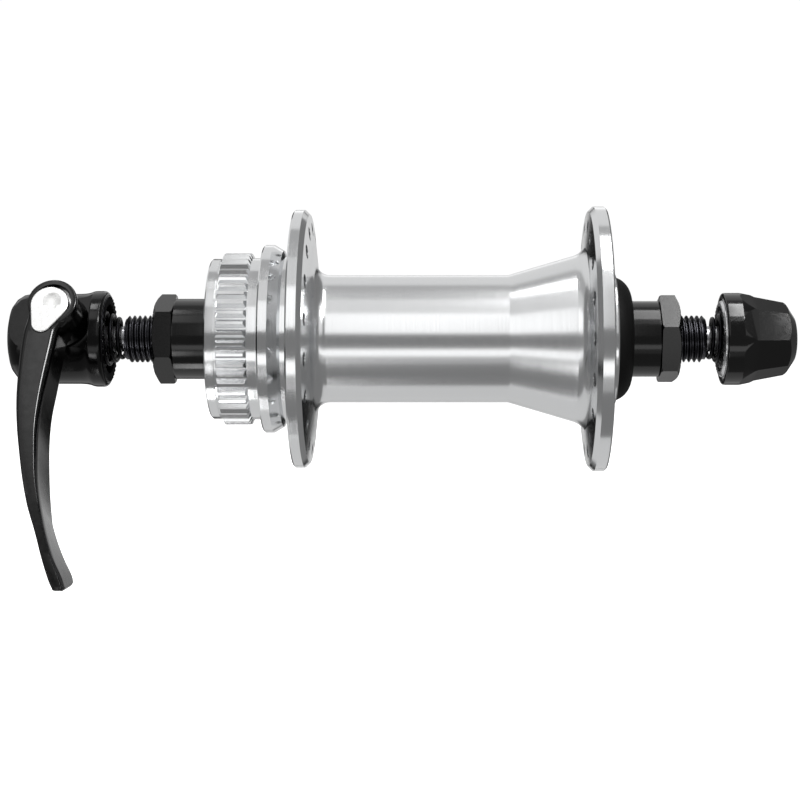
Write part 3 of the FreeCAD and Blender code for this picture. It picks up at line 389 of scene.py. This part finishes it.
# Spacers and locknuts: turned aluminium tubes between cone and nut, anodised black, and
# hexagon steel nuts with a black coat, which hold them on the axle
def spun(points, steps=128):
    """A solid turned about the axle line from (x, radius) or (x, radius, rounding)."""
    mesh = bmesh.new()
    corners = [mesh.verts.new((point[0], 0, point[1])) for point in points]
    mesh.faces.new(corners)
    for rounding in sorted({point[2] for point in points if len(point) == 3}):
        picked = [
            corner for corner, point in zip(corners, points)
            if len(point) == 3 and point[2] == rounding
        ]
        bmesh.ops.bevel(
            mesh, geom=picked, offset=rounding, offset_type="OFFSET", segments=4,
            profile=0.5, affect="VERTICES", material=-1,
        )
    bmesh.ops.delete(mesh, geom=mesh.faces[:], context="FACES_ONLY")
    centre = [e for e in mesh.edges if all(abs(v.co.z) < 1e-6 for v in e.verts)]
    bmesh.ops.delete(mesh, geom=centre, context="EDGES")
    bmesh.ops.spin(
        mesh, geom=mesh.verts[:] + mesh.edges[:], axis=(1, 0, 0), cent=(0, 0, 0),
        angle=2 * math.pi, steps=steps, use_merge=True,
    )
    bmesh.ops.remove_doubles(mesh, verts=mesh.verts, dist=1e-5)
    return mesh


LOCKNUT_INNER = 46.3
THREADED_BORE = 4.52
# Deep black that shows the lamps as soft bands along the tube
black_anodised = surface("black_anodised", "#030303", {"IOR": 1.5})
grain(black_anodised, 0.25, 0.0003, (0.11, 0.16), lathe=True)
for side, inner, outer, radius in (
    ("left", -39, -LOCKNUT_INNER, 7.7), ("right", 40.2, LOCKNUT_INNER, 7.3),
):
    tube = spun([
        (inner, THREADED_BORE), (inner, radius, 0.25),
        (outer, radius, 0.25), (outer, THREADED_BORE),
    ])
    finished(f"spacer_tube_{side}", tube, black_anodised, "axle_set", "spacer_black",
             f"spacer_{side}")
# Black with a little sheen, so that each flat has its own tone
black_zinc = surface("black_zinc", "#040404", {"IOR": 1.5})
grain(black_zinc, 0.15, 0.0005, (0.14, 0.2))
LOCKNUT_EDGE = 0.15
for node in ("locknut_left", "locknut_right"):
    worn = dress(node, black_zinc).modifiers.new("worn_edges", "BEVEL")
    worn.width = LOCKNUT_EDGE * MM
    worn.segments = 2
    worn.limit_method = "ANGLE"
    worn.angle_limit = math.radians(25)


# Skewer: a steel rod through the hollow axle, with the eye that the cam pulls at one
# end and the nut's thread at the other

# Bright zinc, which is a little dull
bright_zinc = surface("bright_zinc", "#a9a9ac", {"Metallic": 1})
grain(bright_zinc, 0.3, 0.002, (0.2, 0.34), lathe=True)
dress("skewer_rod", bright_zinc)


# Cam housing: a zinc casting with thick gloss black paint. The cam shaft crosses it,
# a flat in front takes the lever's head, and a recess in its face takes the spring.
def worked(mesh, kind, tool=None, **settings):
    """The mesh after one modifier; a tool is a second mesh that the modifier uses up."""
    things = []
    for each in (mesh, tool) if tool else (mesh,):
        bmesh.ops.recalc_face_normals(each, faces=each.faces)
        data = bpy.data.meshes.new("work")
        each.to_mesh(data)
        each.free()
        things.append(bpy.data.objects.new("work", data))
        bpy.context.scene.collection.objects.link(things[-1])
    step = things[0].modifiers.new("step", kind)
    if tool:
        step.object = things[1]
    for key, value in settings.items():
        setattr(step, key, value)
    result = bmesh.new()
    result.from_object(things[0], bpy.context.evaluated_depsgraph_get())
    for thing in things:
        data = thing.data
        bpy.data.objects.remove(thing)
        bpy.data.meshes.remove(data)
    return result


def block(low, high):
    """A box between two corners."""
    mesh = bmesh.new()
    middle = [(a + b) / 2 for a, b in zip(low, high)]
    size = [b - a for a, b in zip(low, high)]
    bmesh.ops.create_cube(
        mesh, size=1, matrix=Matrix.Translation(middle) @ Matrix.Diagonal((*size, 1))
    )
    return mesh


def cross_bar(x, radius, front, back, steps=64):
    """A round bar along Y."""
    mesh = bmesh.new()
    place = Matrix.Translation((x, (front + back) / 2, 0)) @ Matrix.Rotation(math.pi / 2, 4, "X")
    bmesh.ops.create_cone(
        mesh, cap_ends=True, segments=steps, radius1=radius, radius2=radius,
        depth=back - front, matrix=place,
    )
    return mesh


SKEWER_ANGLE = math.radians(27)
SKEWER_TURN = Matrix.Rotation(-SKEWER_ANGLE, 4, "X")
PIVOT_X = -67.2
HOUSING_FACE = -59.3
HEAD_FLAT = ((-80, -9.5, -10), (-61.7, -6.9, 10))
EYE_SLOT = ((-72.9, -2.8, -6.1), (-61, 2.8, 6.1))
SHAFT_BORE = (PIVOT_X, 3.35, -10, 7.2)
housing = spun([
    (HOUSING_FACE - 2.6, 0), (HOUSING_FACE - 2.6, 6.7), (HOUSING_FACE - 1.4, 6.7),
    (HOUSING_FACE - 1.4, 8.3), (HOUSING_FACE, 8.3, 0.15), (HOUSING_FACE, 9.2, 0.7),
    (-61.8, 9.2, 0.4), (-62.6, 8.84, 1.2), (-64, 8.65, 0.8), (-77.2, 8.65, 3.3), (-78.1, 0),
])
for tool in (block(*HEAD_FLAT), block(*EYE_SLOT), cross_bar(*SHAFT_BORE)):
    housing = worked(housing, "BOOLEAN", tool, operation="DIFFERENCE", solver="EXACT")
# Thick gloss paint that is nearly black from every side
housing_paint = surface("housing_paint", "#030303", {"IOR": 1.5, "Specular IOR Level": 0.3})
grain(housing_paint, 1.2, 0.006, (0.12, 0.18), detail=2)
finished("painted_housing", housing, housing_paint, "cam_body", "housing_black",
         "cam_housing", place=SKEWER_TURN)


# Clamp ring: a serrated steel ring, pressed into the housing's face, which bites the
# fork end
def ridge(mesh, face, depth, count):
    """Raise every other radial line of a turned face, which makes serrations."""
    for vert in mesh.verts:
        if abs(vert.co.x - face) < 1e-4:
            line = round(math.atan2(vert.co.z, vert.co.y) / (math.pi / count))
            vert.co.x += depth * (line % 2)


SERRATIONS = 40
clamp_ring = spun([
    (HOUSING_FACE - 1.4, 6.7), (HOUSING_FACE - 1.4, 8.3), (HOUSING_FACE, 8.3),
    (HOUSING_FACE + 0.1, 8.2), (HOUSING_FACE + 0.1, 6.7),
], steps=2 * SERRATIONS)
ridge(clamp_ring, HOUSING_FACE + 0.1, 0.2, SERRATIONS)
# Dark steel with a rough shine
dark_ring = surface("dark_ring", "#1c1c1e", {"Metallic": 1})
grain(dark_ring, 0.2, 0.004, (0.32, 0.45))
finished("serrated_ring", clamp_ring, dark_ring, "cam_body", "ring_black",
         "clamp_ring_left", place=SKEWER_TURN, sharp=20)


# Cam shaft: turned steel with an eccentric neck; its plated teardrop end shows in the
# lever's head and has a shallow dimple
LEVER_FRONT = -15.4
PLATE_FRONT = LEVER_FRONT - 0.15
PLATE_BACK = PLATE_FRONT + 2.4
PLATE_ROUND = (3.5, -0.42, -0.53)
PLATE_TOE = (1.9, -1.5, -4.5)
PLATE_EDGE = 0.22
NECK = 2.8
JOURNAL_RADIUS = 3.3
CAM_RADIUS = 2.4
CAM_THROW = 0.8


def teardrop(margin, front, back):
    """A prism along Y round a large circle beside the pivot and a small one at the toe.

    It is larger than the plate by the margin all round.
    """
    mesh = bmesh.new()
    for radius, x, z in (PLATE_ROUND, PLATE_TOE):
        for y in (front, back):
            circle = bmesh.ops.create_circle(mesh, radius=radius + margin, segments=96)["verts"]
            bmesh.ops.rotate(
                mesh, verts=circle, cent=(0, 0, 0), matrix=Matrix.Rotation(math.pi / 2, 3, "X")
            )
            bmesh.ops.translate(mesh, verts=circle, vec=(x, y, z))
    hull = bmesh.ops.convex_hull(mesh, input=mesh.verts[:])
    inside = [item for item in hull["geom_interior"] if isinstance(item, bmesh.types.BMVert)]
    bmesh.ops.delete(mesh, geom=inside, context="VERTS")
    loose = [edge for edge in mesh.edges if not edge.link_faces]
    bmesh.ops.delete(mesh, geom=loose, context="EDGES")
    bmesh.ops.dissolve_limit(
        mesh, angle_limit=0.001, verts=mesh.verts[:], edges=mesh.edges[:]
    )
    return mesh


plate = teardrop(0, PLATE_FRONT, PLATE_BACK)
front_rim = [
    edge for edge in plate.edges
    if all(abs(vert.co.y - PLATE_FRONT) < 1e-4 for vert in edge.verts)
]
bmesh.ops.bevel(
    plate, geom=front_rim, offset=PLATE_EDGE, offset_type="OFFSET", segments=3, profile=0.5,
    affect="EDGES", material=-1,
)
DIMPLE_RADIUS, DIMPLE_DEPTH = 1.8, 0.14
ball_radius = (DIMPLE_RADIUS ** 2 + DIMPLE_DEPTH ** 2) / (2 * DIMPLE_DEPTH)
ball = bmesh.new()
bmesh.ops.create_uvsphere(
    ball, u_segments=96, v_segments=96, radius=ball_radius,
    matrix=Matrix.Translation((0, PLATE_FRONT + DIMPLE_DEPTH - ball_radius, 0)),
)
plate = worked(plate, "BOOLEAN", ball, operation="DIFFERENCE", solver="EXACT")
for x, radius, front, back in (
    (0, JOURNAL_RADIUS, PLATE_BACK - 0.2, -NECK),
    (-CAM_THROW, CAM_RADIUS, -NECK - 0.2, NECK + 0.2),
    (0, JOURNAL_RADIUS, NECK, 7),
):
    plate = worked(plate, "BOOLEAN", cross_bar(x, radius, front, back),
                   operation="UNION", solver="EXACT")
PIVOT = SKEWER_TURN @ Matrix.Translation((PIVOT_X, 0, 0))
# White metal that shines evenly, with a soft shade in the dimple
polished_plate = surface("polished_plate", "#f2f2f1", {"Metallic": 1})
grain(polished_plate, 0.8, 0.0003, (0.24, 0.28))
finished("cam_shaft_teardrop", plate, polished_plate, "lever_arm", "cam_steel",
         "cam_shaft", place=PIVOT)


# Lever: an aluminium forging with thick gloss black paint. A flared head turns on the
# cam shaft, and the blade curves in towards the hub, widens and ends in a slant.

# Down the blade: the reach from the pivot, its inner edge at the front and at the back,
# its outer edge, and its width from front to back
BLADE = [
    (1, 3.2, 3.2, -4.4, 7.7), (3.2, 3.1, 3.3, -4.5, 7.8), (4.4, 2.2, 2.6, -4.7, 7.9),
    (5.7, 1.5, 1.9, -4.9, 7.9), (9, 1.1, 1.75, -5.05, 7.9), (15, 0.4, 1.25, -4.98, 8.1),
    (20, 0, 0.65, -4.7, 8.7), (25, -0.15, 0.55, -4.05, 9.5), (30, 0.2, 0.85, -3.1, 10.4),
    (35, 0.8, 1.4, -2, 11), (40, 1.9, 2.25, -0.6, 11.2), (45, 3.25, 3.6, 1.25, 10.2),
    (50, 5, 5.35, 2.95, 9.3), (54, 6.9, 7.2, 4.5, 8.2), (55.5, 7.5, 7.7, 5.3, 7.4),
]
BLADE_FRONT = LEVER_FRONT + 0.15
BLADE_CORNER = 1.35
BLADE_LEAN_START = 40
BLADE_STEP = 0.7
BLADE_TIP = ((0.94, 0.3), (0.85, 0.28), (0.66, 0.22))


def eased(stations, step):
    """Stations between those measured, on a smooth curve through them."""
    out = []
    last = len(stations) - 1
    for index in range(last):
        near = [stations[max(0, min(last, index + shift))] for shift in (-1, 0, 1, 2)]
        count = math.ceil((near[2][0] - near[1][0]) / step)
        for number in range(count):
            t = number / count
            out.append([
                b + t / 2 * (c - a + t * (2 * a - 5 * b + 4 * c - d + t * (3 * (b - c) + d - a)))
                for a, b, c, d in zip(*near)
            ])
    return out + [stations[-1]]


def grow(mesh, face, first=False):
    """Extrude the end face of a bar that is built step by step, and return the new end."""
    grown = bmesh.ops.extrude_face_region(mesh, geom=[face])["geom"]
    if not first:
        bmesh.ops.delete(mesh, geom=[face], context="FACES_ONLY")
    return next(item for item in grown if isinstance(item, bmesh.types.BMFace))


def lean(reach):
    """How much less far the back of the blade reaches than its front, per mm of width."""
    share = (reach - BLADE_LEAN_START) / (BLADE[-1][0] - BLADE_LEAN_START)
    return math.tan(SKEWER_ANGLE) * max(0, share)


stations = eased(BLADE, BLADE_STEP)
reach, front_inner, back_inner, outer, width = stations[0]
blade = bmesh.new()
corners = [
    blade.verts.new((x, BLADE_FRONT + y, -reach))
    for x, y in ((front_inner, 0), (back_inner, width), (outer, width), (outer, 0))
]
blade.faces.new(corners)
bmesh.ops.bevel(
    blade, geom=corners, offset=BLADE_CORNER, offset_type="OFFSET", segments=5, profile=0.5,
    affect="VERTICES", material=-1,
)
end_face = blade.faces[:][0]
for number, station in enumerate(stations[1:]):
    end_face = grow(blade, end_face, first=number == 0)
    shares = []
    for vert in end_face.verts:
        depth = (vert.co.y - BLADE_FRONT) / width
        inner = front_inner + depth * (back_inner - front_inner)
        shares.append((vert, depth, (vert.co.x - outer) / (inner - outer)))
    reach, front_inner, back_inner, outer, width = station
    for vert, depth, share in shares:
        inner = front_inner + depth * (back_inner - front_inner)
        vert.co = (
            outer + share * (inner - outer), BLADE_FRONT + depth * width,
            lean(reach) * depth * width - reach,
        )
for shrink, step in BLADE_TIP:
    end_face = grow(blade, end_face)
    middle = end_face.calc_center_median()
    for vert in end_face.verts:
        vert.co = middle + (vert.co - middle) * shrink
        vert.co.z -= step
head = spun([
    (LEVER_FRONT, 0), (LEVER_FRONT, 4.55, 0.3), (-11.5, 4.65, 1.5), (-8.6, 5.0, 1.2),
    (-7.1, 5.45, 0.3), (-7.1, 0),
])
bmesh.ops.rotate(
    head, verts=head.verts, cent=(0, 0, 0), matrix=Matrix.Rotation(math.pi / 2, 3, "Z")
)
lever = worked(blade, "BOOLEAN", head, operation="UNION", solver="EXACT")
FIT, GAP = 0.03, 0.12
MOUTH_RADIUS = 3.55
MOUTH_FLOOR = LEVER_FRONT + 0.7
IN_FRONT, BEHIND_HEAD = -17, -6
for tool in (
    cross_bar(0, JOURNAL_RADIUS + FIT, IN_FRONT, BEHIND_HEAD),
    teardrop(FIT, IN_FRONT, PLATE_BACK),
    cross_bar(0, MOUTH_RADIUS, IN_FRONT, MOUTH_FLOOR),
    teardrop(GAP, IN_FRONT, MOUTH_FLOOR),
):
    lever = worked(lever, "BOOLEAN", tool, operation="DIFFERENCE", solver="EXACT")
# Thick gloss paint with a grey sheen on the front and a line of light on the edge
gloss_black_paint = surface("gloss_black_paint", "#030303", {"IOR": 1.5})
grain(gloss_black_paint, 1.2, 0.006, (0.12, 0.18), detail=2)
finished("painted_lever", lever, gloss_black_paint, "lever_arm", "lever_black", "lever",
         place=PIVOT)


# Springs: conical coils of hard wire that push the clamping pieces off the fork ends.
# The wide coil rests in the recess and the small one on the end of the axle.
WIRE = 0.8
COIL_SMALL = 3.4
COIL_PITCH = 1.3
COIL_STEP = 0.62
COIL_STEPS = 40


def coil(seat, tip, start):
    """Wind the wire from the seat to the tip, turning and closing in step by step."""
    way = 1 if tip > seat else -1
    length = abs(tip - seat) - WIRE
    turns = length / COIL_PITCH
    steps = round(turns * COIL_STEPS)
    mesh = bmesh.new()
    wire = bmesh.ops.create_circle(mesh, cap_ends=True, radius=WIRE / 2, segments=14)["verts"]
    bmesh.ops.translate(
        mesh, verts=wire, vec=(seat + way * WIRE / 2, COIL_SMALL + COIL_STEP * turns, 0)
    )
    bmesh.ops.rotate(
        mesh, verts=wire, cent=(0, 0, 0), matrix=Matrix.Rotation(start, 3, "X")
    )
    end = mesh.faces[:][0]
    for step in range(1, steps + 1):
        end = grow(mesh, end, first=step == 1)
        angle = start + 2 * math.pi * turns * step / steps
        shift = -COIL_STEP * turns / steps
        bmesh.ops.rotate(
            mesh, verts=end.verts, cent=(0, 0, 0),
            matrix=Matrix.Rotation(2 * math.pi * turns / steps, 3, "X"),
        )
        bmesh.ops.translate(mesh, verts=end.verts, vec=(
            way * length / steps, shift * math.cos(angle), shift * math.sin(angle),
        ))
    return mesh


# Dark hard wire with a soft line of light along each turn
spring_wire = surface("spring_wire", "#1a1a1c", {"Metallic": 1})
grain(spring_wire, 0.3, 0.002, (0.28, 0.42))
for side, body, seat, tip, start in (
    ("left", "cam_body", -61.8, -55.9, 34), ("right", "nut_slide", 60.9, 55.3, 120),
):
    wound = coil(seat, tip, math.radians(start))
    spring = finished(f"coil_spring_{side}", wound, spring_wire, None,
                      "spring_steel", f"spring_{side}")
    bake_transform(spring)


# Adjusting nut: a serrated steel body on the rod's thread, a nylon insert that grips
# the rod, and a moulded black cover. Round the cover eight flutes for the fingers,
# each of a short steep flat and a long one, meet in sharp ridges.
NUT_FACE = 57.95
NUT_END = 66.1
RING_END = 62.2
nut = spun([
    (NUT_FACE + 0.1, 6.3), (NUT_FACE + 0.1, 6.95), (NUT_FACE + 0.4, 7.35, 0.1),
    (RING_END, 7.35), (RING_END, 5.5), (NUT_END, 5.5), (NUT_END, 2.48), (61, 2.48), (61, 6.3),
], steps=2 * SERRATIONS)
ridge(nut, NUT_FACE + 0.1, -0.1, SERRATIONS)
# Bright zinc with a fine speckle
nut_zinc = surface("nut_zinc", "#dededf", {"Metallic": 1})
grain(nut_zinc, 0.25, 0.004, (0.14, 0.28))
finished("serrated_nut", nut, nut_zinc, "nut", "nut_steel", "nut_body", sharp=20)
# Off-white plastic that lets a little light in
milky_nylon = surface("milky_nylon", "#dcdcd2", {"Subsurface Weight": 0.2})
grain(milky_nylon, 0.6, 0.003, (0.4, 0.55))
dress("nut_insert", milky_nylon)

COVER_START, COVER_LAND, COVER_SHOULDER, COVER_END = 58.5, 61.8, 70.3, 72.4
COVER_EDGE = 0.13
FLUTES = 8
FLUTE_TURN = 24.5
FLUTE = [(61.5, 8.85), (64.7, 7.45), (COVER_END, 6.1), (74, 6.1), (74, 14), (61.5, 14)]
cover = spun([
    (COVER_START, 7.38), (COVER_START, 8.85, 0.35), (COVER_LAND, 8.85, 0.25),
    (COVER_SHOULDER, 7.15, 0.6), (COVER_END, 4, 0.5), (COVER_END, 0), (70.9, 0), (70.9, 4.53),
    (NUT_END, 4.53), (NUT_END, 5.53), (RING_END, 5.53), (RING_END, 7.38),
], steps=160)
for number in range(FLUTES):
    tool = bmesh.new()
    tool.faces.new([tool.verts.new((x, -10, z)) for x, z in FLUTE])
    far = grow(tool, tool.faces[:][0], first=True)
    bmesh.ops.translate(tool, verts=far.verts, vec=(0, 20, 0))
    turn = Matrix.Rotation(math.radians(FLUTE_TURN + 360 / FLUTES * number), 3, "X")
    bmesh.ops.rotate(tool, verts=tool.verts, cent=(0, 0, 0), matrix=turn)
    cover = worked(cover, "BOOLEAN", tool, operation="DIFFERENCE", solver="EXACT")
cover = worked(cover, "BEVEL", width=COVER_EDGE, segments=2, limit_method="ANGLE",
               angle_limit=math.radians(14))
# Smooth moulded black, so that each flat has its own tone
gloss_black_plastic = surface("gloss_black_plastic", "#050505", {"IOR": 1.5})
grain(gloss_black_plastic, 0.8, 0.0015, (0.09, 0.13), detail=2)
finished("fluted_cover", cover, gloss_black_plastic, "nut", "cover_black", "nut_cover",
         sharp=40)
